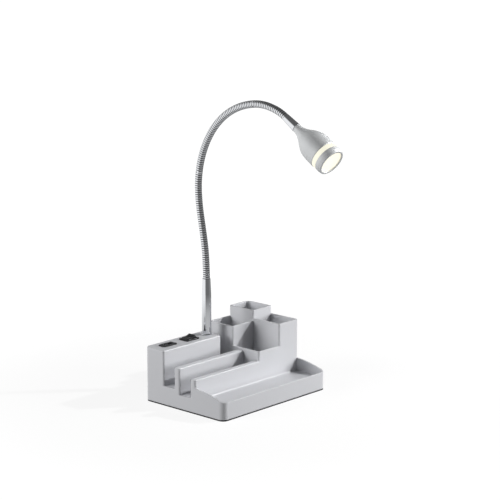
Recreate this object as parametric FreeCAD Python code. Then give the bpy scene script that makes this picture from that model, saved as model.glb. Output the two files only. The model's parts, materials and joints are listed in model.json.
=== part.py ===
"""Desk organiser with a gooseneck LED lamp.

Frame: millimetres, +Z up, +X to the right, -Y towards the user.
The origin is the centre of the underside, on the table.
"""
import FreeCAD, Part
import os
from math import cos, pi, radians, sin, sqrt

V = FreeCAD.Vector
Y_AXIS, Z_AXIS = V(0, 1, 0), V(0, 0, 1)
AHEAD = V(0, -1, 0)          # towards the user
os.makedirs("parts", exist_ok=True)

# ---------------------------------------------------------------- driving sizes
# organiser shell
base_length = 200.0          # X
base_depth = 142.0           # Y
corner_radius = 8.0          # upright corners of the footprint
wall = 2.4                   # moulded wall
edge_radius = 1.6            # rounded top edges
upright_radius = 2.5         # upright corners of the raised forms
pad_thickness = 1.6

# front tray
tray_wall_top = 24.6
tray_floor_top = 17.2
tray_side_top = 34.4         # the side walls climb to this at the lip and the cups
tray_depth = 50.0            # outer front face to the lip's front face
tray_floor_radius = 2.5

# lip, slots and divider, front to back
lip_thickness = 8.8
lip_top = 45.2
front_slot_width = 19.4
front_slot_floor = 19.5
divider_thickness = 9.7
divider_top = 55.3
rear_slot_width = 19.0
rear_slot_floor = 26.2

# electrical block at the rear left
block_top = 73.4
niche_width = 13.3           # gap between the block and the cups

# pen cups, two by two, at the right
left_cup_width = 40.5
right_cup_width = 38.0
front_cup_depth = 47.6
cup_floor_top = 9.0
front_left_cup_top = 58.0
rear_left_cup_top = 84.6
front_right_cup_top = 88.4
rear_right_cup_top = 99.2

# bottom plate, ballast and screws
plate_thickness = 2.5
plate_clearance = 0.3
boss_diameter = 7.5
screw_diameter = 3.0
screw_hole_clearance = 0.2
screw_head_diameter = 5.6
screw_head_height = 1.6
screw_grip = 9.0
screw_facets = 10
ballast_length = 92.0
ballast_width = 56.0
ballast_thickness = 7.0
ballast_front_gap = 5.0      # to the front screw bosses

# socket and switch on the block
usb_inset = 25.4             # socket to the left end of the block
usb_bezel_length = 23.3
usb_bezel_width = 12.0
usb_bezel_thickness = 1.4
usb_body_length = 19.0
usb_body_width = 9.6
usb_body_height = 14.0
usb_mouth_length = 13.1
usb_mouth_width = 5.7
usb_shell_gauge = 0.4
usb_tongue_length = 11.0
usb_tongue_width = 1.9
usb_tongue_height = 9.5
usb_tongue_gap = 1.0         # to the near wall of the metal shell
usb_base_height = 2.5
usb_depth = 12.0
usb_lip = 0.2
switch_offset = 3.1          # right of the middle between socket and stem
switch_bezel_length = 22.4
switch_bezel_width = 16.4
switch_bezel_thickness = 1.6
switch_body_length = 20.4
switch_body_width = 13.0
switch_body_height = 15.0
rocker_width = 10.8
rocker_radius = 9.2
rocker_corner_height = 6.4   # above the pivot, at the two ends
rocker_waist_height = 5.0    # above the pivot, in the middle
rocker_tilt = 11.0           # degrees either side of level
rocker_gap = 0.35
rocker_foot = 3.0            # below the pivot
pivot_depth = 3.2            # pivot below the top of the switch bezel
pivot_diameter = 2.4
pivot_clearance = 0.08
pivot_end_gap = 0.35         # axle end to the outside of the housing
terminal_length = 7.0
terminal_width = 4.8
terminal_gauge = 0.8
panel_clearance = 0.15

# power inlet in the back wall
inlet_board_gap = 7.5        # inlet to the right end of the control board
inlet_z = 15.0
inlet_flange_diameter = 10.6
inlet_flange_thickness = 1.5
inlet_barrel_diameter = 8.0
inlet_barrel_length = 12.0
inlet_bore = 5.6
inlet_bore_depth = 9.5
inlet_pin_diameter = 2.0
inlet_nut_flats = 11.0
inlet_nut_thickness = 2.2

# control board
board_length = 50.0
board_width = 25.0
board_thickness = 1.6
board_boss_gap = 2.0         # to the screw boss on its left
board_rear_gap = 2.7         # to the back wall
post_height = 10.0
post_width = 6.0
post_inset = 4.0
peg_width = 2.4              # heat-staked pegs on the posts
peg_height = 2.6
peg_clearance = 0.1

# chrome stem
stem_inset = 9.2             # stem axis to the right end of the block
stem_diameter = 12.6
stem_straight = 55.5
stem_taper_length = 21.7
stem_tip_diameter = 10.8
stem_bore = 5.0
collar_diameter = 15.6
collar_height = 1.6
spigot_diameter = 8.0
spigot_length = 13.0
spigot_clearance = 0.1
washer_diameter = 12.0
washer_thickness = 1.2
stem_nut_flats = 10.0
stem_nut_thickness = 4.0
stem_facets = 28

# flexible neck
neck_diameter = 9.7
neck_root_diameter = 8.6     # bottom of the grooves between the turns
neck_facets = 8
ribs_per_link = 4
link_length = 30.2
neck_first_hinge = 8.0       # above the stem's tip
neck_last_stub = 12.0        # last hinge to the upper ferrule
rest_turns = [-3, -7, -1, 7, 13, 13, 14, 16, 16, 15, 21, 19]   # degrees at each hinge
lean_hinges = (2, 6, 10)     # these bend sideways, the others fore and aft
turn_gap = 1.45              # hinge to the end of a link, each side
core_diameter = 3.0
core_reach = 2.5             # core past the hinge, into the next link
socket_diameter = 5.8
socket_depth = 3.4           # from the hinge

# lamp head: (distance from its neck, diameter) along its axis
head_facets = 32
bell_rings = 10
bell_outline = [(0, 11.0), (7.5, 13.2), (16, 20.6), (24, 30.2), (31, 36.4), (40, 39.0), (54, 39.4)]
ferrule_length = 21.0
ferrule_root_diameter = 10.0
ferrule_tip_diameter = 12.0
lead_bore = 5.0
head_bore_depth = 14.0       # from the open end of the bell
head_wall = 1.8
carrier_thickness = 5.0
band_length = 6.2
band_diameter = 38.4
band_wall = 1.6
ring_length = 9.2
ring_diameter = 38.4
ring_face_diameter = 36.6
ring_bore = 31.2
ring_seat_depth = 7.2
ring_step = 1.2              # ledge that the lens rests on
lens_thickness = 2.2
lens_clearance = 0.15
optic_root_diameter = 12.6
optic_face_diameter = 28.0
led_board_diameter = 26.0
led_board_thickness = 1.2
led_chip_diameter = 11.0
led_chip_thickness = 0.8

# ---------------------------------------------------------------- worked out
left, right = -base_length / 2, base_length / 2
front, rear = -base_depth / 2, base_depth / 2
skirt = pad_thickness
tray_back = front + tray_depth
front_slot_start = tray_back + lip_thickness
divider_start = front_slot_start + front_slot_width
divider_end = divider_start + divider_thickness
block_start = divider_end + rear_slot_width
cups_start = right - left_cup_width - right_cup_width
cups_split = right - right_cup_width
cups_mid = tray_back + front_cup_depth
block_end = cups_start - niche_width
block_middle = (block_start + rear) / 2
plate_bottom = skirt + screw_head_height     # the screw heads lie between plate and pad
plate_top = plate_bottom + plate_thickness
stem_x = block_end - stem_inset
stem_y = block_middle
usb_x = left + usb_inset
switch_x = (usb_x + stem_x) / 2 + switch_offset
plate_inset = wall + plate_clearance
board_x = left + corner_radius + boss_diameter + board_boss_gap
board_y = rear - wall - board_rear_gap - board_width
board_bottom = plate_top + post_height
board_top = board_bottom + board_thickness
inlet_x = board_x + board_length + inlet_board_gap


# ---------------------------------------------------------------- helpers
def box(x0, x1, y0, y1, z0, z1):
    return Part.makeBox(x1 - x0, y1 - y0, z1 - z0, V(x0, y0, z0))


def rod(diameter, length, base, direction=Z_AXIS):
    return Part.makeCylinder(diameter / 2, length, base, direction)


def fuse(shapes):
    shapes = list(shapes)
    return shapes[0].multiFuse(shapes[1:]).removeSplitter()


def plan(x0, x1, y0, y1, z0, z1, radii):
    """Upright block; radii are for front left, front right, rear right, rear left."""
    block = box(x0, x1, y0, y1, z0, z1)
    corners = zip(((x0, y0), (x1, y0), (x1, y1), (x0, y1)), radii)
    for (x, y), radius in corners:
        if radius:
            edges = [e for e in block.Edges if is_upright(e, x, y)]
            block = block.makeFillet(radius, edges)
    return block


def is_upright(edge, x, y):
    ends = [v.Point for v in edge.Vertexes]
    return len(ends) == 2 and all(abs(p.x - x) + abs(p.y - y) < 1e-6 for p in ends)


def round_level(shape, z, radius, keep=lambda edge: True):
    """Round every edge of the shape that lies flat at height z."""
    edges = [e for e in shape.Edges if lies_at(e, z) and keep(e)]
    return shape.makeFillet(radius, edges)


def lies_at(edge, z):
    bounds = edge.BoundBox
    return abs(bounds.ZMin - z) < 1e-4 and abs(bounds.ZMax - z) < 1e-4


def raised(x0, x1, y0, y1, top, radii):
    """A raised form of the shell, from the skirt to a rounded top."""
    return round_level(plan(x0, x1, y0, y1, skirt, top, radii), top, edge_radius)


def lay(shape, base, axis):
    """Stand a shape made along +Z at the origin on a base point, along an axis."""
    shape.Placement = FreeCAD.Placement(base, FreeCAD.Rotation(Z_AXIS, axis))
    return shape


def hexagon(flats, thickness, base, axis, bore):
    corner = flats / sqrt(3)
    points = [V(corner * cos(radians(60 * i)), corner * sin(radians(60 * i)), 0) for i in range(7)]
    nut = Part.Face(Part.makePolygon(points)).extrude(V(0, 0, thickness))
    return lay(nut.cut(rod(bore, thickness, V(0, 0, 0))), base, axis)


def turned(outline, sides, bored=False):
    """Turned piece in flat facets round +Z, through (radius, height) rings from end to end.

    A bored piece closes its outline on itself; a solid one is capped at both ends.
    """
    rings = [facet_ring(radius, height, sides) for radius, height in outline]
    pairs = list(zip(rings, rings[1:]))
    if bored:
        pairs.append((rings[-1], rings[0]))
        faces = []
    else:
        faces = [Part.Face(Part.makePolygon(ring + ring[:1])) for ring in (rings[0], rings[-1])]
    for low, high in pairs:
        for i in range(sides):
            j = (i + 1) % sides
            quad = [low[i], low[j], high[j], high[i], low[i]]
            faces.append(Part.Face(Part.makePolygon(quad)))
    skin = Part.makeShell(faces)
    skin.sewShape()
    solid = Part.makeSolid(skin)
    return solid if solid.Volume > 0 else solid.reversed()


def facet_ring(radius, height, sides):
    turn = 2 * pi / sides
    return [V(radius * cos(turn * i), radius * sin(turn * i), height) for i in range(sides)]


def tube_outline(diameter, bore, start, end):
    return [(bore / 2, start), (diameter / 2, start), (diameter / 2, end), (bore / 2, end)]


def save(name, shape):
    shape.exportStep("parts/" + name + ".step")


# ---------------------------------------------------------------- organiser shell
def footprint(top, inset=0.0, z0=skirt):
    radius = corner_radius - inset
    return plan(left + inset, right - inset, front + inset, rear - inset, z0, top, [radius] * 4)


def tray():
    """Sunken front tray; its side walls climb in a soft curve to the lip and the cups."""
    joint = tray_back + upright_radius      # fills in beside the rounded corners behind it
    low = footprint(tray_wall_top).common(box(left, right, front, joint, skirt, tray_wall_top))
    start = V(left, front + wall, tray_wall_top)
    end = V(left, tray_back, tray_side_top)
    bulge = V(0, -1, 2).normalize() * 1.7
    curve = Part.Arc(start, (start + end) / 2 + bulge, end).toShape()
    rest = [end, V(left, joint, tray_side_top), V(left, joint, skirt), V(left, front, skirt),
            V(left, front, tray_wall_top), start]
    outline = Part.Wire([curve] + Part.makePolygon(rest).Edges)
    climb = Part.Face(outline).extrude(V(base_length, 0, 0)).common(footprint(tray_side_top))
    basin = plan(left + wall, right - wall, front + wall, tray_back, tray_floor_top,
                 tray_side_top + 1, [corner_radius - wall] * 2 + [0, 0])
    basin = round_level(basin, tray_floor_top, tray_floor_radius,
                        lambda edge: edge.BoundBox.YMin > tray_back - wall)
    return low.fuse(climb).cut(basin)


cups = {   # name: x0, x1, y0, y1, rim height
    "front_left": (cups_start, cups_split, tray_back, cups_mid, front_left_cup_top),
    "front_right": (cups_split, right, tray_back, cups_mid, front_right_cup_top),
    "rear_left": (cups_start, cups_split, cups_mid, rear, rear_left_cup_top),
    "rear_right": (cups_split, right, cups_mid, rear, rear_right_cup_top),
}


def cup_blocks():
    """The cluster rises in steps: all four cups, right pair, rear pair, rear right cup."""
    steps = [(cups_start, tray_back, front_left_cup_top), (cups_split, tray_back, front_right_cup_top),
             (cups_start, cups_mid, rear_left_cup_top), (cups_split, cups_mid, rear_right_cup_top)]
    radii = [upright_radius, upright_radius, corner_radius, upright_radius]
    return [plan(x0, right, y0, rear, skirt, top, radii) for x0, y0, top in steps]


def cup_hollows():
    """Open spaces inside the cups; a lower cup ends at its taller neighbour's face."""
    solids = []
    for name, (x0, x1, y0, y1, top) in cups.items():
        x_end = x1 if x1 < right else right - wall
        y_end = y1 if y1 < rear else rear - wall
        radii = [0, 0, corner_radius - wall if name == "rear_right" else 0, 0]
        solids.append(plan(x0 + wall, x_end, y0 + wall, y_end, cup_floor_top, top + 1, radii))
    return solids


def underside_hollows():
    """The moulding is hollow from below: every form is one wall thick."""
    inside_left, inside_rear = left + wall, rear - wall
    under_slots = cups_start
    low = footprint(tray_floor_top - wall, wall)
    low = low.cut(box(cups_start, right, tray_back, rear, cup_floor_top - wall, tray_floor_top))
    behind_tray = footprint(front_slot_floor - wall, wall)
    behind_tray = behind_tray.common(box(left, under_slots, tray_back + wall, rear, 0, divider_top))
    behind_divider = footprint(rear_slot_floor - wall, wall)
    behind_divider = behind_divider.common(
        box(left, under_slots, divider_start + wall, rear, 0, block_top))
    lip = box(inside_left, under_slots, tray_back + wall, front_slot_start - wall,
              skirt, lip_top - wall)
    divider = box(inside_left, under_slots, divider_start + wall, divider_end - wall,
                  skirt, divider_top - wall)
    block = plan(inside_left, block_end - wall, block_start + wall, inside_rear, skirt,
                 block_top - wall, [0, 0, 0, corner_radius - wall])
    return [low, behind_tray, behind_divider, lip, divider, block]


def boss_places():
    """Screw bosses, clear of the cups and of the ballast."""
    inset = corner_radius + boss_diameter / 2
    return [(left + inset, front + inset, tray_floor_top),
            (right - inset, front + inset, tray_floor_top),
            (left + inset, divider_end + boss_diameter, rear_slot_floor),
            (block_end + niche_width / 2, rear - inset, rear_slot_floor)]


def organizer_shell():
    slot_end = cups_start + wall
    soft = upright_radius
    forms = [
        tray(),
        footprint(front_slot_floor).common(
            box(left, slot_end, tray_back, rear, skirt, front_slot_floor)),
        footprint(rear_slot_floor).common(
            box(left, slot_end, divider_start + soft, rear, skirt, rear_slot_floor)),
        raised(left, slot_end, tray_back, front_slot_start, lip_top, [soft, 0, 0, soft]),
        raised(left, slot_end, divider_start, divider_end, divider_top, [soft, 0, 0, soft]),
        raised(left, block_end, block_start, rear, block_top, [soft, soft, soft, corner_radius]),
    ]
    shell = fuse(forms + cup_blocks())
    shell = shell.cut(Part.makeCompound(cup_hollows()))
    shell = shell.cut(fuse(underside_hollows()))
    bosses = [rod(boss_diameter, top - plate_top, V(x, y, plate_top)) for x, y, top in boss_places()]
    boss_pilots = [rod(screw_diameter, screw_grip, V(x, y, plate_top)) for x, y, _ in boss_places()]
    stem_boss = rod(washer_diameter + wall, wall, V(stem_x, stem_y, block_top - 2 * wall))
    shell = fuse([shell, stem_boss] + [b.common(footprint(block_top)) for b in bosses])
    stem_hole = rod(spigot_diameter + 2 * spigot_clearance, 3 * wall,
                    V(stem_x, stem_y, block_top - 2.5 * wall))
    inlet_hole = rod(inlet_barrel_diameter + 2 * panel_clearance, 3 * wall,
                     V(inlet_x, rear - 2 * wall, inlet_z), Y_AXIS)
    holes = boss_pilots + [panel_hole(usb_x, usb_body_length, usb_body_width),
                           panel_hole(switch_x, switch_body_length, switch_body_width),
                           stem_hole, inlet_hole]
    return shell.cut(Part.makeCompound(holes))


def panel_hole(x, length, width):
    half_x, half_y = length / 2 + panel_clearance, width / 2 + panel_clearance
    return box(x - half_x, x + half_x, block_middle - half_y, block_middle + half_y,
               block_top - 2 * wall, block_top + wall)


save("organizer_shell", organizer_shell())


# ---------------------------------------------------------------- underside
near, far = post_inset, board_length - post_inset
post_places = [(board_x + dx, board_y + dy) for dx in (near, far)
               for dy in (post_inset, board_width - post_inset)]


def square_post(x, y, width, z0, z1):
    return box(x - width / 2, x + width / 2, y - width / 2, y + width / 2, z0, z1)


posts = [square_post(x, y, post_width, plate_top, board_bottom) for x, y in post_places]
pegs = [square_post(x, y, peg_width, plate_top, board_bottom + peg_height) for x, y in post_places]
plate = fuse([footprint(plate_top, plate_inset, plate_bottom)] + posts + pegs)
plate_hole = screw_diameter + 2 * screw_hole_clearance
plate = plate.cut(Part.makeCompound(
    [rod(plate_hole, plate_thickness, V(x, y, plate_bottom)) for x, y, _ in boss_places()]))
save("bottom_plate", plate)

# a shank a little slimmer than its pilot stands for the thread that it cuts
shank = screw_diameter - 2 * screw_hole_clearance
screw_tip = screw_head_height + plate_thickness + screw_grip - 1
screw_outline = [(screw_head_diameter / 2, 0), (screw_head_diameter / 2, screw_head_height),
                 (shank / 2, screw_head_height), (shank / 2, screw_tip)]
save("bottom_screws", Part.makeCompound(
    [lay(turned(screw_outline, screw_facets), V(x, y, skirt), Z_AXIS) for x, y, _ in boss_places()]))

save("anti_slip_pad", footprint(pad_thickness, 0.0, 0.0))

# steel slab under the tray and the front slot, glued to the bottom plate
ballast_x = (left + cups_start - ballast_length) / 2
ballast_y = boss_places()[0][1] + boss_diameter / 2 + ballast_front_gap
save("ballast_weight", box(ballast_x, ballast_x + ballast_length, ballast_y,
                           ballast_y + ballast_width, plate_top, plate_top + ballast_thickness))


# ---------------------------------------------------------------- control board
board = box(board_x, board_x + board_length, board_y, board_y + board_width,
            board_bottom, board_top)
save("control_board", board.cut(Part.makeCompound(
    [square_post(x, y, peg_width + 2 * peg_clearance, plate_top, board_top + 1)
     for x, y in post_places])))


# ---------------------------------------------------------------- USB socket
def centred(x, length, width, z0, z1, radius=0):
    """Upright block on the middle line of the electrical block."""
    return plan(x - length / 2, x + length / 2, block_middle - width / 2,
                block_middle + width / 2, z0, z1, [radius] * 4)


usb_top = block_top + usb_bezel_thickness
usb_floor = usb_top - usb_depth
bezel = centred(usb_x, usb_bezel_length, usb_bezel_width, block_top, usb_top, 1.5)
bezel = bezel.fuse(centred(usb_x, usb_body_length, usb_body_width,
                           block_top - usb_body_height, block_top))
save("usb_bezel", bezel.cut(centred(usb_x, usb_mouth_length, usb_mouth_width, usb_floor, usb_top)))

inner_length = usb_mouth_length - 2 * usb_shell_gauge
inner_width = usb_mouth_width - 2 * usb_shell_gauge
can = centred(usb_x, usb_mouth_length, usb_mouth_width, usb_floor, usb_top - usb_lip)
save("usb_shell", can.cut(centred(usb_x, inner_length, inner_width, usb_floor, usb_top)))

tongue_y = block_middle + inner_width / 2 - usb_tongue_gap
tongue = box(usb_x - usb_tongue_length / 2, usb_x + usb_tongue_length / 2,
             tongue_y - usb_tongue_width, tongue_y, usb_floor, usb_floor + usb_tongue_height)
save("usb_tongue", tongue.fuse(centred(usb_x, inner_length, inner_width,
                                       usb_floor, usb_floor + usb_base_height)))


# ---------------------------------------------------------------- rocker switch
switch_top = block_top + switch_bezel_thickness
pivot = V(switch_x, block_middle, switch_top - pivot_depth)


def along_y(diameter, length):
    """Cylinder on the rocker's pivot line, centred on it."""
    return rod(diameter, length, pivot - Y_AXIS * length / 2, Y_AXIS)


switch = centred(switch_x, switch_bezel_length, switch_bezel_width, block_top, switch_top, 1.2)
switch = switch.fuse(centred(switch_x, switch_body_length, switch_body_width,
                             block_top - switch_body_height, block_top))
pocket = along_y(2 * (rocker_radius + rocker_gap), rocker_width + 2 * rocker_gap)
pivot_holes = along_y(pivot_diameter + 2 * pivot_clearance, switch_body_width)
save("switch_housing", switch.cut(pocket).cut(pivot_holes))

rise = (rocker_corner_height - rocker_waist_height) / sqrt(rocker_radius ** 2
                                                           - rocker_corner_height ** 2)
end_height = rocker_waist_height + rise * rocker_radius
saddle = [(-rocker_radius, -rocker_foot), (rocker_radius, -rocker_foot),
          (rocker_radius, end_height), (0, rocker_waist_height), (-rocker_radius, end_height)]
saddle_points = [pivot + V(x, -rocker_width / 2, z) for x, z in saddle + saddle[:1]]
saddle_block = Part.Face(Part.makePolygon(saddle_points)).extrude(Y_AXIS * rocker_width)
rocker = saddle_block.common(along_y(2 * rocker_radius, rocker_width))
rocker = rocker.fuse(along_y(pivot_diameter, switch_body_width - 2 * pivot_end_gap))
rocker.rotate(pivot, Y_AXIS, -rocker_tilt)
save("switch_rocker", rocker)

terminals = [centred(switch_x + side * switch_body_length / 4, terminal_gauge, terminal_width,
                     block_top - switch_body_height - terminal_length,
                     block_top - switch_body_height) for side in (-1, 1)]
save("switch_terminals", Part.makeCompound(terminals))


# ---------------------------------------------------------------- power inlet
inlet_face = rear + inlet_flange_thickness
inlet = rod(inlet_flange_diameter, inlet_flange_thickness, V(inlet_x, inlet_face, inlet_z), AHEAD)
inlet = inlet.fuse(rod(inlet_barrel_diameter, inlet_barrel_length, V(inlet_x, rear, inlet_z), AHEAD))
inlet = inlet.cut(rod(inlet_bore, inlet_bore_depth, V(inlet_x, inlet_face, inlet_z), AHEAD))
save("dc_inlet", inlet)
pin_length = inlet_bore_depth - inlet_flange_thickness
save("dc_inlet_pin", rod(inlet_pin_diameter, pin_length, V(inlet_x, rear, inlet_z), AHEAD))
save("dc_inlet_nut", hexagon(inlet_nut_flats, inlet_nut_thickness, V(inlet_x, rear - wall, inlet_z),
                             AHEAD, inlet_barrel_diameter + spigot_clearance))


# ---------------------------------------------------------------- stem
stem_foot = V(stem_x, stem_y, block_top)
bore_radius = stem_bore / 2
spigot_hole = spigot_diameter + 2 * spigot_clearance
stem_height = stem_straight + stem_taper_length
sleeve_outline = [
    (bore_radius, -spigot_length), (spigot_diameter / 2, -spigot_length),
    (spigot_diameter / 2, collar_height), (stem_diameter / 2, collar_height),
    (stem_diameter / 2, stem_straight), (stem_tip_diameter / 2, stem_height),
    (bore_radius, stem_height)]
washer_top = -2 * wall
washer_bottom = washer_top - washer_thickness


def on_stem(outline):
    """Turned piece on the stem's axis; its heights are from the top of the block."""
    return lay(turned(outline, stem_facets, bored=True), stem_foot, Z_AXIS)


save("stem_collar", on_stem(tube_outline(collar_diameter, spigot_hole, 0, collar_height)))
save("stem_sleeve", on_stem(sleeve_outline))
save("stem_washer", on_stem(tube_outline(washer_diameter, spigot_hole, washer_bottom, washer_top)))
nut_base = block_top + washer_bottom - stem_nut_thickness
save("stem_nut", hexagon(stem_nut_flats, stem_nut_thickness, V(stem_x, stem_y, nut_base),
                         Z_AXIS, spigot_diameter + spigot_clearance))


# ---------------------------------------------------------------- flexible neck
def heading(angle):
    """Direction that leans ahead from upright by an angle in degrees."""
    return Z_AXIS * cos(radians(angle)) + AHEAD * sin(radians(angle))


def turns(start, end, count):
    """Crests and grooves of the wound hose between two heights."""
    step = (end - start) / (2 * count)
    radii = [neck_diameter / 2, neck_root_diameter / 2]
    return [(radii[i % 2], start + i * step) for i in range(2 * count + 1)]


def socket():
    """Open lower end of a link, from the bottom of the socket out to its mouth."""
    return [(socket_diameter / 2, socket_depth), (socket_diameter / 2, turn_gap)]


def core(hinge):
    """Upper end of a link: the core that reaches past the hinge."""
    return [(core_diameter / 2, hinge - turn_gap), (core_diameter / 2, hinge + core_reach)]


hinges = [stem_foot + Z_AXIS * (stem_height + neck_first_hinge)]
headings = []
for turn in rest_turns:
    headings.append((headings[-1] if headings else 0) + turn)
    hinges.append(hinges[-1] + heading(headings[-1]) * link_length)
neck_end = hinges[-2] + heading(headings[-1]) * neck_last_stub

root_outline = turns(0, neck_first_hinge - turn_gap, 1) + core(neck_first_hinge)
save("neck_root", lay(turned(root_outline, neck_facets), stem_foot + Z_AXIS * stem_height, Z_AXIS))
link_outline = socket() + turns(turn_gap, link_length - turn_gap, ribs_per_link) + core(link_length)
for number in range(1, len(rest_turns)):
    link = lay(turned(link_outline, neck_facets), hinges[number - 1], heading(headings[number - 1]))
    save("neck_link_%02d" % number, link)
tip_outline = socket() + turns(turn_gap, neck_last_stub, 2)
save("neck_tip", lay(turned(tip_outline, neck_facets), hinges[-2], heading(headings[-1])))


# ---------------------------------------------------------------- lamp head
head_axis = heading(headings[-1])


def on_head(outline, bored=False):
    """Turned piece on the head's axis; its distances are from the neck of the bell."""
    return lay(turned(outline, head_facets, bored), head_base, head_axis)


def head_disc(diameter, start, length):
    return on_head([(diameter / 2, start), (diameter / 2, start + length)])


def head_tube(diameter, bore, start, length):
    return on_head(tube_outline(diameter, bore, start, start + length), bored=True)


lead_radius = lead_bore / 2
head_base = neck_end + head_axis * ferrule_length
save("head_ferrule", on_head([
    (lead_radius, -ferrule_length), (ferrule_root_diameter / 2, -ferrule_length),
    (ferrule_tip_diameter / 2, 0), (lead_radius, 0)], bored=True))

bell_length, bell_mouth = bell_outline[-1]
bell_bore = bell_mouth - 2 * head_wall
bell_floor = bell_length - head_bore_depth
flare = Part.BSplineCurve()
flare.interpolate([V(diameter / 2, 0, at) for at, diameter in bell_outline])
bell_profile = [(point.x, point.z) for point in flare.discretize(bell_rings)]
save("head_shell", on_head(bell_profile + [
    (bell_bore / 2, bell_length), (bell_bore / 2, bell_floor), (lead_radius, bell_floor),
    (lead_radius, 0)], bored=True))

save("led_carrier", head_tube(bell_bore, lead_bore, bell_length - carrier_thickness,
                              carrier_thickness))
save("led_board", head_disc(led_board_diameter, bell_length, led_board_thickness))
chip_start = bell_length + led_board_thickness
save("led_chip", head_disc(led_chip_diameter, chip_start, led_chip_thickness))

save("diffuser_band", head_tube(band_diameter, band_diameter - 2 * band_wall,
                                bell_length, band_length))
ring_start = bell_length + band_length
ring_end = ring_start + ring_length
ledge = ring_start + ring_seat_depth
seat_diameter = ring_bore + 2 * ring_step
save("head_ring", on_head([
    (seat_diameter / 2, ring_start), (ring_diameter / 2, ring_start),
    (ring_diameter / 2, ring_start + ring_length / 2), (ring_face_diameter / 2, ring_end),
    (ring_bore / 2, ring_end), (ring_bore / 2, ledge), (seat_diameter / 2, ledge)], bored=True))
lens_start = ledge - lens_thickness
save("front_lens", head_disc(seat_diameter - 2 * lens_clearance, lens_start, lens_thickness))
optic_start = chip_start + led_chip_thickness
save("spot_optic", on_head([
    (optic_root_diameter / 2, optic_start), (optic_face_diameter / 2, lens_start)]))
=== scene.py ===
"""Desk organiser with a gooseneck reading lamp: the finish of every piece.

Metres, +Z up, +X to the right, -Y towards the user, origin under the middle of the base.
"""
import json
from math import cos, pi, radians, sin

import bmesh
import bpy
from mathutils import Matrix, Vector


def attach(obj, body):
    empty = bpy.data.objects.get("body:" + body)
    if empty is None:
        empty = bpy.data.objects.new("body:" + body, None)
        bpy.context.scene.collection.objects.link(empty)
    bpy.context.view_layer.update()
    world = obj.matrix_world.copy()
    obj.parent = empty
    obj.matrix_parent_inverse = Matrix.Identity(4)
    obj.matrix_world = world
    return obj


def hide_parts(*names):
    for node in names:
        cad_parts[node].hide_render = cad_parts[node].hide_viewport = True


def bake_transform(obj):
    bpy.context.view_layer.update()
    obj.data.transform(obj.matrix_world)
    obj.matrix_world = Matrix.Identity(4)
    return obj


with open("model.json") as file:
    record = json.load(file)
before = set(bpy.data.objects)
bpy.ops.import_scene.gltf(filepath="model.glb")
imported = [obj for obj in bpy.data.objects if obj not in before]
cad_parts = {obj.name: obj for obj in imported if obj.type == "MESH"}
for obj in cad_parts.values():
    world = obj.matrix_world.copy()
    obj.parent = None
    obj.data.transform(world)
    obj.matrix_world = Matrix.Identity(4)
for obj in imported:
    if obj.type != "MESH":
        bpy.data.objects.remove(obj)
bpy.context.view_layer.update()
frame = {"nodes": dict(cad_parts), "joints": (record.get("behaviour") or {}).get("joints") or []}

# ------------------------------------------------------------------ organiser shell
# One injection moulding in pale grey ABS: sunk tray, lip, two slots, switch block and four
# stepped pen cups. Fine spark-eroded grain on the faces, softly rounded rims. It is screwed
# to the bottom plate from below.


def add(tree, kind, inputs=None, **settings):
    """A node with its settings and inputs; an input is a value or another node's socket."""
    made = tree.nodes.new(kind)
    for name, value in settings.items():
        setattr(made, name, value)
    for key, value in (inputs or {}).items():
        if isinstance(value, bpy.types.NodeSocket):
            tree.links.new(value, made.inputs[key])
        else:
            made.inputs[key].default_value = value
    return made


def maths(tree, operation, *values):
    """The result of a maths node on numbers or sockets."""
    return add(tree, "ShaderNodeMath", dict(enumerate(values)), operation=operation).outputs[0]


def vectors(tree, operation, *values):
    """The result of a vector maths node; SCALE takes its second value as the factor."""
    inputs = dict(enumerate(values))
    if operation == "SCALE":
        inputs["Scale"] = inputs.pop(1)
    made = add(tree, "ShaderNodeVectorMath", inputs, operation=operation)
    return made.outputs["Value" if operation in ("LENGTH", "DISTANCE", "DOT_PRODUCT") else 0]


def ramp(tree, value, start, end, low=0.0, high=1.0):
    """Eases from low to high while the value goes from start to end."""
    return add(tree, "ShaderNodeMapRange",
               {"Value": value, "From Min": start, "From Max": end, "To Min": low,
                "To Max": high}, interpolation_type="SMOOTHSTEP").outputs[0]


def mixed_value(tree, share, first, second):
    return add(tree, "ShaderNodeMix", {0: share, 2: first, 3: second}).outputs[0]


def mixed_colour(tree, share, first, second):
    return add(tree, "ShaderNodeMix", {0: share, 6: (*first, 1), 7: (*second, 1)},
               data_type="RGBA").outputs[2]


def noise(tree, place, scale, detail=2.0):
    return add(tree, "ShaderNodeTexNoise",
               {"Vector": place, "Scale": scale, "Detail": detail}).outputs["Fac"]


def object_place(tree):
    return add(tree, "ShaderNodeTexCoord").outputs["Object"]


def blank_material(name):
    material = bpy.data.materials.new(name)
    material.use_nodes = True
    material.node_tree.nodes.clear()
    return material, material.node_tree


def group_of(name, inputs, outputs):
    """An empty shader group; inputs and outputs are lists of (name, socket type, default)."""
    group = bpy.data.node_groups.new(name, "ShaderNodeTree")
    for side, sockets in (("INPUT", inputs), ("OUTPUT", outputs)):
        for label, kind, default in sockets:
            socket = group.interface.new_socket(name=label, in_out=side, socket_type=kind)
            if default is not None:
                socket.default_value = default
    return group, add(group, "NodeGroupInput").outputs, add(group, "NodeGroupOutput").inputs


COLOR, VALUE, VECTOR = "NodeSocketColor", "NodeSocketFloat", "NodeSocketVector"

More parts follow.
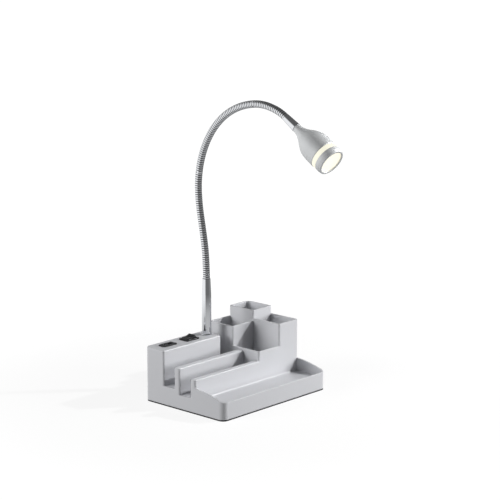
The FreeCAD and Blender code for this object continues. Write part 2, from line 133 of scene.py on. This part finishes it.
# fine grain of a moulding, with a slow drift of tone and gloss over the face
grain, given, result = group_of(
    "moulded_grain",
    [("Color", COLOR, (0.6, 0.6, 0.6, 1)), ("Tone Drift", VALUE, 0.04),
     ("Grain Size", VALUE, 0.0004), ("Roughness", VALUE, 0.4), ("Gloss Drift", VALUE, 0.08)],
    [("Color", COLOR, None), ("Roughness", VALUE, None), ("Height", VALUE, None)])
patches_per_metre, patch_detail = 28.0, 3.0
place = object_place(grain)
drift = maths(grain, "SUBTRACT", noise(grain, place, patches_per_metre, patch_detail), 0.5)
grains_per_metre = maths(grain, "DIVIDE", 1.0, given["Grain Size"])
tone = maths(grain, "MULTIPLY_ADD", drift, given["Tone Drift"], 1.0)
gloss = maths(grain, "MULTIPLY_ADD", drift, given["Gloss Drift"], given["Roughness"])
grain.links.new(vectors(grain, "MULTIPLY", given["Color"], tone), result["Color"])
grain.links.new(gloss, result["Roughness"])
grain.links.new(noise(grain, place, grains_per_metre), result["Height"])
gloss_drift = 0.25      # share of the roughness


def moulding(name, color, roughness, grain_size=0.0004, grain_depth=0.00001, tone_drift=0.05,
             soft_edge=0.0, coat=0.0):
    """Moulded plastic: grain group, bump and a plastic gloss."""
    material, tree = blank_material(name)
    surface = add(tree, "ShaderNodeGroup", {
        "Color": (*color, 1), "Tone Drift": tone_drift, "Grain Size": grain_size,
        "Roughness": roughness, "Gloss Drift": roughness * gloss_drift}, node_tree=grain).outputs
    relief = {"Height": surface["Height"], "Distance": grain_depth, "Strength": 1.0}
    if soft_edge:
        relief["Normal"] = add(tree, "ShaderNodeBevel", {"Radius": soft_edge},
                               samples=6).outputs[0]
    bump = add(tree, "ShaderNodeBump", relief)
    shader = add(tree, "ShaderNodeBsdfPrincipled",
                 {"Base Color": surface["Color"], "Roughness": surface["Roughness"],
                  "Normal": bump.outputs[0], "IOR": 1.5, "Coat Weight": coat,
                  "Coat Roughness": 0.1})
    add(tree, "ShaderNodeOutputMaterial", {"Surface": shader.outputs[0]})
    return material


def finish(node_name, material):
    """Puts a material on a CAD node, in place of its plain one."""
    slots = frame["nodes"][node_name].data.materials
    slots.clear()
    slots.append(material)


shell_grey = moulding("shell_grey_abs", (0.612, 0.618, 0.642), 0.31, grain_size=0.0005,
                      grain_depth=0.000006, tone_drift=0.03, soft_edge=0.0015)
finish("organizer_shell", shell_grey)

# ------------------------------------------------------------------ underside
# A flat ABS plate closes the moulding, held by four screws, and a full-size sheet of black
# foam rubber is glued over it so that the base does not slide. A steel slab weighs it down.
plate_grey = moulding("plate_grey_abs", (0.25, 0.25, 0.26), 0.5)
pad_rubber = moulding("pad_foam_rubber", (0.022, 0.022, 0.024), 0.75, grain_size=0.0009,
                      grain_depth=0.00008, tone_drift=0.3)
finish("bottom_plate", plate_grey)
finish("anti_slip_pad", pad_rubber)
clouds_per_metre, cloud_detail, scratches_per_metre = 55.0, 4.0, 900.0
gloss_swing = 4         # how much further the gloss drifts than the drift that is given


def metal(name, color, roughness, drift=0.05, scratch_depth=0.0000015, metallic=1.0):
    """Polished, plated, lacquered or rolled metal, with clouded gloss and fine scratches."""
    material, tree = blank_material(name)
    place = object_place(tree)
    rough = add(tree, "ShaderNodeMapRange",
                {"Value": noise(tree, place, clouds_per_metre, cloud_detail),
                 "To Min": roughness * (1 - drift * gloss_swing),
                 "To Max": roughness * (1 + drift * gloss_swing)})
    bump = add(tree, "ShaderNodeBump", {"Height": noise(tree, place, scratches_per_metre),
                                        "Distance": scratch_depth})
    shader = add(tree, "ShaderNodeBsdfPrincipled",
                 {"Base Color": (*color, 1), "Metallic": metallic, "Roughness": rough.outputs[0],
                  "Normal": bump.outputs[0]})
    add(tree, "ShaderNodeOutputMaterial", {"Surface": shader.outputs[0]})
    return material


zinc_steel = metal("zinc_plated_steel", (0.60, 0.61, 0.62), 0.3)
for hidden_steel in ("bottom_screws", "ballast_weight"):
    finish(hidden_steel, zinc_steel)

# ------------------------------------------------------------------ control board
# A small glass-fibre board under green lacquer, on four posts of the bottom plate whose
# pegs are melted over it.
board_green = moulding("board_green_lacquer", (0.02, 0.13, 0.05), 0.3, grain_size=0.0006,
                       coat=0.4)
finish("control_board", board_green)

# ------------------------------------------------------------------ USB socket
# Black nylon bezel that snaps into the top of the block, with a folded steel shell and a
# black contact tongue in it.
black_plastic = moulding("socket_black_nylon", (0.018, 0.018, 0.02), 0.36, soft_edge=0.0003)
socket_steel = metal("socket_bright_steel", (0.55, 0.56, 0.58), 0.25)
finish("usb_bezel", black_plastic)
finish("usb_tongue", black_plastic)
finish("usb_shell", socket_steel)

# ------------------------------------------------------------------ rocker switch
# Glossy black snap-in rocker switch with brass terminals; the moulded lever rocks on a pin
# that sits in two holes of the housing.
switch_black = moulding("switch_black_abs", (0.012, 0.012, 0.014), 0.32, grain_size=0.0005,
                        grain_depth=0.000006, soft_edge=0.0004)
terminal_brass = metal("terminal_brass", (0.78, 0.58, 0.25), 0.25)
finish("switch_housing", switch_black)
finish("switch_rocker", switch_black)
finish("switch_terminals", terminal_brass)

# ------------------------------------------------------------------ power inlet
# Round panel-mount DC inlet: a black moulded barrel with a brass centre pin, put through
# the back wall from outside and held by a steel nut inside.
finish("dc_inlet", black_plastic)
finish("dc_inlet_pin", terminal_brass)
finish("dc_inlet_nut", zinc_steel)

# ------------------------------------------------------------------ stem
# Drawn steel tube with a tapered tip, chrome plated, on a thin turned collar. Its spigot
# goes through the top of the block and is held from inside by a washer and a nut.
chrome_color = (0.80, 0.815, 0.84)
chrome = metal("bright_chrome", chrome_color, 0.09, drift=0.08)
stem_x, stem_y, block_top = -0.0010, 0.05345, 0.0734
collar_radius, collar_bore, collar_height = 0.0078, 0.0041, 0.0016
stem_radius, stem_tip_radius = 0.0063, 0.0054
stem_straight, stem_taper = 0.0555, 0.0217
spigot_radius, spigot_length, stem_bore = 0.0040, 0.013, 0.0025
stem_foot = Vector((stem_x, stem_y, block_top))
lathe_sides, lathe_crease = 96, 35
side_share = 2.2        # a rounded corner uses at most 1 / 2.2 of each of its two sides
same_point, no_edge = 1e-7, 1e-8


def rounded(outline, radius, steps=5):
    """The closed outline of (radius, height) points with its corners rounded."""
    points = [Vector(p) for p in outline]
    softened = []
    for i, corner in enumerate(points):
        before, after = points[i - 1] - corner, points[(i + 1) % len(points)] - corner
        reach = min(radius, before.length / side_share, after.length / side_share)
        start, end = corner + before.normalized() * reach, corner + after.normalized() * reach
        for k in range(steps + 1):
            t = k / steps
            softened.append(start * (1 - t) ** 2 + corner * 2 * t * (1 - t) + end * t ** 2)
    return softened


def turned(name, outline, base, axis, material, soft=0.0002):
    """A lathe-turned piece: a closed outline of (radius, height) turned about an axis."""
    ring_of = rounded(outline, soft) if soft else [Vector(p) for p in outline]
    count = len(ring_of)
    verts, faces = [], []
    for i in range(lathe_sides):
        turn = 2 * pi * i / lathe_sides
        verts += [(p[0] * cos(turn), p[0] * sin(turn), p[1]) for p in ring_of]
    for i in range(lathe_sides):
        here, there = i * count, ((i + 1) % lathe_sides) * count
        for k in range(count):
            n = (k + 1) % count
            faces.append((here + k, here + n, there + n, there + k))
    mesh = bpy.data.meshes.new(name)
    mesh.from_pydata(verts, [], faces)
    upright = axis.to_track_quat("Z", "Y").to_matrix().to_4x4()
    mesh.transform(Matrix.Translation(base) @ upright)
    return dressed(name, mesh, material, lathe_crease)


def dressed(name, mesh, material, crease):
    """A finished object for a mesh: doubles merged, faces out, smooth but for sharp edges."""
    work = bmesh.new()
    work.from_mesh(mesh)
    bmesh.ops.remove_doubles(work, verts=work.verts, dist=same_point)
    bmesh.ops.dissolve_degenerate(work, edges=work.edges, dist=no_edge)
    bmesh.ops.recalc_face_normals(work, faces=work.faces)
    work.to_mesh(mesh)
    work.free()
    mesh.shade_smooth()
    mesh.set_sharp_from_angle(angle=radians(crease))
    mesh.materials.clear()
    mesh.materials.append(material)
    piece = bpy.data.objects.new(name, mesh)
    bpy.context.scene.collection.objects.link(piece)
    return piece


UP = Vector((0, 0, 1))
collar = turned("stem_collar_turned", [
    (collar_bore, 0), (collar_radius, 0), (collar_radius, collar_height),
    (collar_bore, collar_height)], stem_foot, UP, chrome, soft=0.0006)
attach(collar, "base")
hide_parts("stem_collar")
stem_top = stem_straight + stem_taper
sleeve = turned("stem_sleeve_drawn", [
    (stem_bore, -spigot_length), (spigot_radius, -spigot_length), (spigot_radius, collar_height),
    (stem_radius, collar_height), (stem_radius, stem_straight), (stem_tip_radius, stem_top),
    (stem_bore, stem_top)], stem_foot, UP, chrome, soft=0.0005)
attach(sleeve, "base")
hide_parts("stem_sleeve")
frame_chrome = [collar, sleeve]
finish("stem_washer", zinc_steel)
finish("stem_nut", zinc_steel)

# ------------------------------------------------------------------ flexible neck
# Gooseneck of round steel wire wound into a close coil and chrome plated. It bends anywhere
# along its length and stays put; here one stretch of it is drawn bent around each hinge of the
# frame.
neck_radius, groove_depth, winding_pitch = 0.00485, 0.0008, 0.00290
crest_flatness = 0.35   # power of the rib's half wave; lower gives flatter crests
rings_per_turn, hose_sides, hose_crease = 10, 28, 80
head_turn, last_stub = radians(19), 0.012
joints = {joint["child"]: joint for joint in frame["joints"]}
neck_bodies = ["base"] + ["neck_%02d" % i for i in range(1, 12)] + ["head"]
hinge_points = [Vector(joints[body]["pos_m"]) for body in neck_bodies[1:]]
bend_axis = Vector(joints["neck_01"]["axis"]).normalized()
neck_start = stem_foot + UP * stem_top

# painted shade: the plating colour darkens towards the bottom of each groove, where the turns
# shade it, and its gloss dulls there
groove_painted_shade = (0.06, 0.06, 0.065)
wound_chrome, tree = blank_material("wound_chrome")
depth = add(tree, "ShaderNodeAttribute", attribute_name="groove").outputs["Fac"]
groove_shade_and_dull = ramp(tree, depth, 0.1, 0.45)
plating = mixed_colour(tree, groove_shade_and_dull, chrome_color, groove_painted_shade)
sheen = add(tree, "ShaderNodeMapRange",
            {"Value": noise(tree, object_place(tree), 700.0, 3.0), "To Min": 0.06,
             "To Max": 0.16}).outputs[0]
shader = add(tree, "ShaderNodeBsdfPrincipled",
             {"Base Color": plating, "Metallic": 1.0,
              "Roughness": maths(tree, "MULTIPLY_ADD", groove_shade_and_dull, 0.4, sheen)})
add(tree, "ShaderNodeOutputMaterial", {"Surface": shader.outputs[0]})

# the hose: a unit cylinder laid along the centre line, sunk in a groove between the turns
hose = bpy.data.node_groups.new("wound_hose", "GeometryNodeTree")
for label, kind in (("Centre Line", "NodeSocketGeometry"), ("Radius", VALUE),
                    ("Groove Depth", VALUE), ("Winding Pitch", VALUE),
                    ("Rings Per Turn", "NodeSocketInt"), ("Sides", "NodeSocketInt"),
                    ("Bend Axis", VECTOR), ("Finish", "NodeSocketMaterial")):
    hose.interface.new_socket(name=label, in_out="INPUT", socket_type=kind)
hose.interface.new_socket(name="Hose", in_out="OUTPUT", socket_type="NodeSocketGeometry")
given = add(hose, "NodeGroupInput").outputs
length = add(hose, "GeometryNodeCurveLength", {"Curve": given["Centre Line"]}).outputs[0]
turns = maths(hose, "ROUND", maths(hose, "DIVIDE", length, given["Winding Pitch"]))
rings = maths(hose, "MULTIPLY", turns, given["Rings Per Turn"])
tube = add(hose, "GeometryNodeMeshCylinder",
           {"Vertices": given["Sides"], "Side Segments": rings, "Radius": 1.0, "Depth": 1.0})
position = add(hose, "GeometryNodeInputPosition").outputs[0]
spot = add(hose, "ShaderNodeSeparateXYZ", {0: position}).outputs
share = maths(hose, "ADD", spot["Z"], 0.5)
line = add(hose, "GeometryNodeSampleCurve", {"Curves": given["Centre Line"], "Factor": share},
           mode="FACTOR").outputs
outward = vectors(hose, "CROSS_PRODUCT", given["Bend Axis"], line["Tangent"])
spoke = vectors(hose, "ADD", vectors(hose, "SCALE", outward, spot["X"]),
                vectors(hose, "SCALE", given["Bend Axis"], spot["Y"]))
half_turns = maths(hose, "MULTIPLY", maths(hose, "MULTIPLY", share, turns), pi)
wave = maths(hose, "ABSOLUTE", maths(hose, "SINE", half_turns))
groove = maths(hose, "SUBTRACT", 1.0, maths(hose, "POWER", wave, crest_flatness))
# the groove depth is kept for the material, which paints shade into the grooves by it
marked = add(hose, "GeometryNodeStoreNamedAttribute",
             {"Geometry": tube.outputs["Mesh"], "Name": "groove", "Value": groove},
             data_type="FLOAT")
sunk = maths(hose, "MULTIPLY", groove, given["Groove Depth"])
reach = maths(hose, "SUBTRACT", given["Radius"], sunk)
target = vectors(hose, "ADD", line["Position"], vectors(hose, "SCALE", spoke, reach))
shaped = add(hose, "GeometryNodeSetPosition",
             {"Geometry": marked.outputs[0], "Position": target})
whole = add(hose, "GeometryNodeRealizeInstances", {"Geometry": shaped.outputs[0]})
coated = add(hose, "GeometryNodeSetMaterial",
             {"Geometry": whole.outputs[0], "Material": given["Finish"]})
add(hose, "NodeGroupOutput", {"Hose": coated.outputs[0]})


def centre_line(name, start, hinge, end, lead_in, lead_out):
    """Bezier line from start to end that turns at the hinge, after a straight lead."""
    into, out = (hinge - start).normalized(), (end - hinge).normalized()
    bend_start, bend_end = start + into * lead_in, end - out * lead_out
    knots = [(bend_start - into * lead_in / 3, bend_start, bend_start.lerp(hinge, 2 / 3)),
             (bend_end.lerp(hinge, 2 / 3), bend_end, bend_end + out * lead_out / 3)]
    if lead_in:
        knots.insert(0, (start, start, start + into * lead_in / 3))
    if lead_out:
        knots.append((end - out * lead_out / 3, end, end))
    curve = bpy.data.curves.new(name, "CURVE")
    curve.dimensions = "3D"
    curve.resolution_u = 24
    spline = curve.splines.new("BEZIER")
    spline.bezier_points.add(len(knots) - 1)
    for point, (handle_in, knot, handle_out) in zip(spline.bezier_points, knots):
        point.handle_left, point.co, point.handle_right = handle_in, knot, handle_out
    return curve


def wound_stretch(name, curve):
    """One stretch of hose along a centre line, as a plain mesh."""
    carrier = bpy.data.objects.new(name + "_line", curve)
    bpy.context.scene.collection.objects.link(carrier)
    modifier = carrier.modifiers.new("wound_hose", "NODES")
    modifier.node_group = hose
    sizes = {"Radius": neck_radius, "Groove Depth": groove_depth,
             "Winding Pitch": winding_pitch, "Rings Per Turn": rings_per_turn,
             "Sides": hose_sides, "Bend Axis": bend_axis, "Finish": wound_chrome}
    for item in hose.interface.items_tree:
        if item.in_out == "INPUT" and item.name in sizes:
            modifier[item.identifier] = sizes[item.name]
    view = bpy.context.evaluated_depsgraph_get()
    mesh = bpy.data.meshes.new_from_object(carrier.evaluated_get(view), depsgraph=view)
    bpy.data.objects.remove(carrier)
    return dressed(name, mesh, wound_chrome, hose_crease)


link_middles = [(a + b) / 2 for a, b in zip(hinge_points, hinge_points[1:])]
last_link = (hinge_points[-1] - hinge_points[-2]).normalized()
head_dir = Matrix.Rotation(head_turn, 3, bend_axis) @ last_link
neck_end = hinge_points[-1] + head_dir * last_stub
stops = [neck_start] + link_middles + [neck_end]
stands_for = {0: ["neck_root"], 11: ["neck_link_11", "neck_tip"]}
for i, hinge in enumerate(hinge_points):
    start, end = stops[i], stops[i + 1]
    before, after = (hinge - start).length, (end - hinge).length
    bend = min(before, after)
    path = centre_line("neck_line", start, hinge, end, before - bend, after - bend)
    name = "hose_stretch_%02d" % (i + 1)
    stretch = wound_stretch(name, path)
    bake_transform(stretch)
    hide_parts(*stands_for.get(i, ["neck_link_%02d" % i]))
    frame_chrome.append(stretch)

# ------------------------------------------------------------------ lamp head
# Spun aluminium bell in satin silver lacquer on a chrome ferrule. A clear-white diffuser
# band is clamped between the bell and the turned front ring, which holds the frosted lens.
silver = metal("satin_silver", (0.74, 0.755, 0.765), 0.56, drift=0.02,
               scratch_depth=0.00000008, metallic=0.45)
# along the bell from its root: distance and diameter, both in millimetres
bell_outline = [(0, 11.0), (7.5, 13.2), (16, 20.6), (24, 30.2), (31, 36.4), (40, 39.0),
                (54, 39.4)]
ferrule_length, bell_length, band_length, ring_length = 0.021, 0.054, 0.0062, 0.0092
ferrule_root_radius, ferrule_tip_radius = 0.0050, 0.0060
bell_wall, bell_bore_depth, lead_radius = 0.0018, 0.014, 0.0025
root_inner_radius, root_outer_radius, root_edge = 0.0052, 0.0055, 0.0004
lip_height, lip_width = 0.0006, 0.0004
band_radius, band_wall = 0.0192, 0.0016
ring_radius, ring_face_radius, ring_bore = 0.0192, 0.0183, 0.0156
ring_seat, ring_step = 0.0072, 0.0012
lens_thickness, lens_gap, lens_centre_radius = 0.0022, 0.00015, 0.00001
head_base = neck_end + head_dir * ferrule_length


def flowing(knots, steps=8):
    """Points on a smooth curve through (distance, diameter) knots, as (radius, height)."""
    points = []
    last = len(knots) - 1
    for i in range(last):
        p0, p1, p2, p3 = (Vector(knots[max(0, min(last, k))])
                          for k in (i - 1, i, i + 1, i + 2))
        for k in range(steps):
            t = k / steps
            p = 0.5 * (2 * p1 + (p2 - p0) * t + (2 * p0 - 5 * p1 + 4 * p2 - p3) * t ** 2
                       + (3 * p1 - p0 - 3 * p2 + p3) * t ** 3)
            points.append((p[1] / 2000, p[0] / 1000))
    points.append((knots[-1][1] / 2000, knots[-1][0] / 1000))
    return points


def head_piece(name, outline, material, nodes, soft=0.0003, start=0.0):
    piece = turned(name, outline, head_base + head_dir * start, head_dir, material, soft=soft)
    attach(piece, "head")
    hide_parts(*nodes)
    return piece


frame_chrome.append(head_piece("head_ferrule_turned", [
    (lead_radius, 0), (ferrule_root_radius, 0), (ferrule_tip_radius, ferrule_length),
    (lead_radius, ferrule_length)], chrome, ["head_ferrule"], start=-ferrule_length))
mouth = bell_outline[-1][1] / 2000
bore = mouth - bell_wall
bore_end = bell_length - bell_bore_depth
root = [(root_inner_radius, 0), (root_outer_radius, root_edge)]
lip = [(mouth, bell_length - lip_height), (mouth - lip_width, bell_length)]
inside = [(bore, bell_length), (bore, bore_end), (lead_radius, bore_end), (lead_radius, 0)]
bell = head_piece("head_bell_spun", root + flowing(bell_outline)[1:-1] + lip + inside, silver,
                  ["head_shell"], soft=0)
ring_start = bell_length + band_length
ring_end = ring_start + ring_length
ring = head_piece("head_ring_turned", [
    (ring_bore + ring_step, ring_start), (ring_radius, ring_start),
    (ring_radius, ring_start + ring_length / 2), (ring_face_radius, ring_end),
    (ring_bore, ring_end), (ring_bore, ring_start + ring_seat),
    (ring_bore + ring_step, ring_start + ring_seat)], silver, ["head_ring"],
    soft=0.0006)


def glow(name, color, strength, centre=None, spread=0.0, rim_color=None):
    """Frosted plastic lit from behind; with a centre, its colour shifts towards the rim."""
    material, tree = blank_material(name)
    place = object_place(tree)
    frost = noise(tree, place, 2500.0)
    bump = add(tree, "ShaderNodeBump", {"Height": frost, "Distance": 0.00001})
    light = (*color, 1)
    if centre:
        away = ramp(tree, vectors(tree, "DISTANCE", place, centre), 0.0, spread)
        light = mixed_colour(tree, away, color, rim_color)
    shader = add(tree, "ShaderNodeBsdfPrincipled",
                 {"Base Color": (0.25, 0.25, 0.24, 1), "Roughness": 0.35,
                  "Normal": bump.outputs[0], "Emission Color": light,
                  "Emission Strength": strength})
    add(tree, "ShaderNodeOutputMaterial", {"Surface": shader.outputs[0]})
    return material


band_glow = glow("diffuser_band_lit", (1.0, 0.97, 0.78), 0.8)
head_piece("diffuser_band_moulded", [
    (band_radius - band_wall, bell_length), (band_radius, bell_length),
    (band_radius, ring_start), (band_radius - band_wall, ring_start)], band_glow,
    ["diffuser_band"])
lens_start = ring_start + ring_seat - lens_thickness
lens_end = lens_start + lens_thickness
lens_radius = ring_bore + ring_step - lens_gap
lens_glow = glow("lens_frosted_lit", (1.0, 0.955, 0.79), 0.98,
                 centre=tuple(head_base + head_dir * lens_end), spread=0.0165,
                 rim_color=(1.0, 0.94, 0.76))
head_piece("front_lens_domed", [
    (lens_centre_radius, lens_start), (lens_radius, lens_start), (lens_radius, lens_end),
    (lens_centre_radius, lens_end)], lens_glow, ["front_lens"], soft=0)
heat_sink = metal("heat_sink_aluminium", (0.5, 0.5, 0.51), 0.4)
finish("led_carrier", heat_sink)
finish("led_board", moulding("led_board_white", (0.75, 0.75, 0.73), 0.4))
finish("led_chip", glow("led_phosphor", (1.0, 0.8, 0.35), 1.0))
finish("spot_optic", moulding("optic_clear_plastic", (0.8, 0.82, 0.84), 0.15))

# ------------------------------------------------------------------ studio
# White table sweep in a room with one bright wall on the left, a grey one on the right and a
# dark ceiling, so that the plating shows bands. A crisp key lamp stands at the front right,
# two large soft lamps fill from the front and the left, and a snooted one lights the head.
paper_white, room_base = 1.05, 0.17
room, given, result = group_of("room_walls", [("Direction", VECTOR, None)],
                               [("Level", VALUE, None)])


def wall_level(azimuth, inner, outer, level):
    """Brightness of a wall centred on an azimuth; it fades from inner to outer, in degrees."""
    middle = (cos(radians(azimuth)), sin(radians(azimuth)), 0)
    flat = vectors(room, "MULTIPLY", given[0], (1, 1, 0))
    facing = vectors(room, "DOT_PRODUCT", vectors(room, "NORMALIZE", flat), middle)
    return ramp(room, facing, cos(radians(outer)), cos(radians(inner)), high=level)


walls = maths(room, "ADD", wall_level(azimuth=128, inner=52, outer=78, level=0.85),
              wall_level(azimuth=340, inner=20, outer=60, level=0.08))
room.links.new(maths(room, "ADD", walls, room_base), result[0])

# the sweep: paper that takes the shadow, white from afar, and the room in the plating
table_radius, table_sides = 6, 64
sweep_material, tree = blank_material("white_sweep")
rays = add(tree, "ShaderNodeLightPath").outputs
spot = object_place(tree)
distance = vectors(tree, "LENGTH", spot)
banded = add(tree, "ShaderNodeGroup", {"Direction": spot}, node_tree=room).outputs[0]
mirrored = mixed_value(tree, ramp(tree, distance, 0.22, 0.52), 0.65, banded)
level = mixed_value(tree, rays["Is Glossy Ray"], paper_white, mirrored)
seen = maths(tree, "MAXIMUM", rays["Is Camera Ray"], rays["Is Glossy Ray"])
seen = maths(tree, "MAXIMUM", seen, rays["Is Transmission Ray"])
share = maths(tree, "MULTIPLY", seen, ramp(tree, distance, 0.2, 0.6, 0.82, 1.0))
tint = mixed_colour(tree, rays["Is Camera Ray"], (0.05, 0.05, 0.05), (0.78, 0.78, 0.78))
paper = add(tree, "ShaderNodeBsdfDiffuse", {"Color": tint})
white = add(tree, "ShaderNodeEmission", {"Color": (1, 1, 1, 1), "Strength": level})
mixed = add(tree, "ShaderNodeMixShader",
            {0: share, 1: paper.outputs[0], 2: white.outputs[0]})
add(tree, "ShaderNodeOutputMaterial", {"Surface": mixed.outputs[0]})
around = [2 * pi * i / table_sides for i in range(table_sides)]
floor_mesh = bpy.data.meshes.new("table_sweep")
floor_mesh.from_pydata([(table_radius * cos(a), table_radius * sin(a), 0) for a in around], [],
                       [tuple(range(table_sides))])
floor_mesh.materials.append(sweep_material)
table = bpy.data.objects.new("table_sweep", floor_mesh)
bpy.context.scene.collection.objects.link(table)

# the room above the table: its walls show in the plating only, under a dark ceiling
ceiling_level, ambient_level = 0.12, 0.10
world = bpy.data.worlds.new("studio_room")
bpy.context.scene.world = world
world.use_nodes = True
tree = world.node_tree
tree.nodes.clear()
rays = add(tree, "ShaderNodeLightPath").outputs
direction = add(tree, "ShaderNodeTexCoord").outputs["Generated"]
height = add(tree, "ShaderNodeSeparateXYZ", {0: direction}).outputs["Z"]
banded = add(tree, "ShaderNodeGroup", {"Direction": direction}, node_tree=room).outputs[0]
mirrored = maths(tree, "MULTIPLY", banded, ramp(tree, height, 0.3, 0.75, 1.0, 0.0))
mirrored = maths(tree, "MAXIMUM", mirrored, ceiling_level)
level = mixed_value(tree, rays["Is Glossy Ray"], ambient_level, mirrored)
level = mixed_value(tree, rays["Is Camera Ray"], level, paper_white)
backdrop = add(tree, "ShaderNodeBackground", {"Color": (1, 1, 1, 1), "Strength": level})
add(tree, "ShaderNodeOutputWorld", {"Surface": backdrop.outputs[0]})


def lamp(name, place, size, power, aim=(0, 0, 0.1), mirrored=True):
    light = bpy.data.lights.new(name, "AREA")
    light.shape = "DISK"
    light.size, light.energy = size, power
    holder = bpy.data.objects.new(name, light)
    holder.location = place
    holder.rotation_euler = (Vector(place) - Vector(aim)).to_track_quat("Z", "Y").to_euler()
    holder.visible_camera, holder.visible_glossy = False, mirrored
    bpy.context.scene.collection.objects.link(holder)
    return holder


def link_light(holder, name, pieces, state):
    """Lets a lamp light only these pieces (INCLUDE), or all but these (EXCLUDE)."""
    group = bpy.data.collections.new(name)
    for piece in pieces:
        group.objects.link(piece)
    holder.light_linking.receiver_collection = group
    for entry in group.collection_objects:
        entry.light_linking.link_state = state


key = lamp("key_lamp", (0.90, -0.74, 0.89), 0.06, 14.5)
lamp("front_fill", (1.4, -2.0, 0.36), 1.2, 45.0, mirrored=False)
lamp("left_fill", (-2.09, 1.02, 0.9), 1.6, 51.0, mirrored=False)
# the snoot picks out the right side of the head and its rim, and misses all the rest
snoot = lamp("head_snoot", (1.10, -0.70, 0.42), 0.60, 4.0, aim=(0.035, -0.15, 0.30))
link_light(snoot, "in_the_snoot", [bell, ring], "INCLUDE")
# the key lamp is flagged off the plating, which would only catch it as hard white specks
link_light(key, "flagged_from_key", frame_chrome, "EXCLUDE")

camera_data = bpy.data.cameras.new("studio_camera")
camera_data.lens, camera_data.sensor_width = 127.16, 36.0
camera_data.clip_end = 50.0
camera = bpy.data.objects.new("studio_camera", camera_data)
camera_place = (-1.6509, -1.5440, 0.6884)
side, top = (0.67717, -0.73583, 0.0), (0.15630, 0.14384, 0.97718)
back = (-0.71904, -0.66171, 0.21241)
facing = Matrix((side, top, back)).transposed().to_4x4()
camera.matrix_world = Matrix.Translation(camera_place) @ facing
bpy.context.scene.collection.objects.link(camera)
bpy.context.scene.camera = camera
bpy.context.scene.view_settings.view_transform = "Standard"
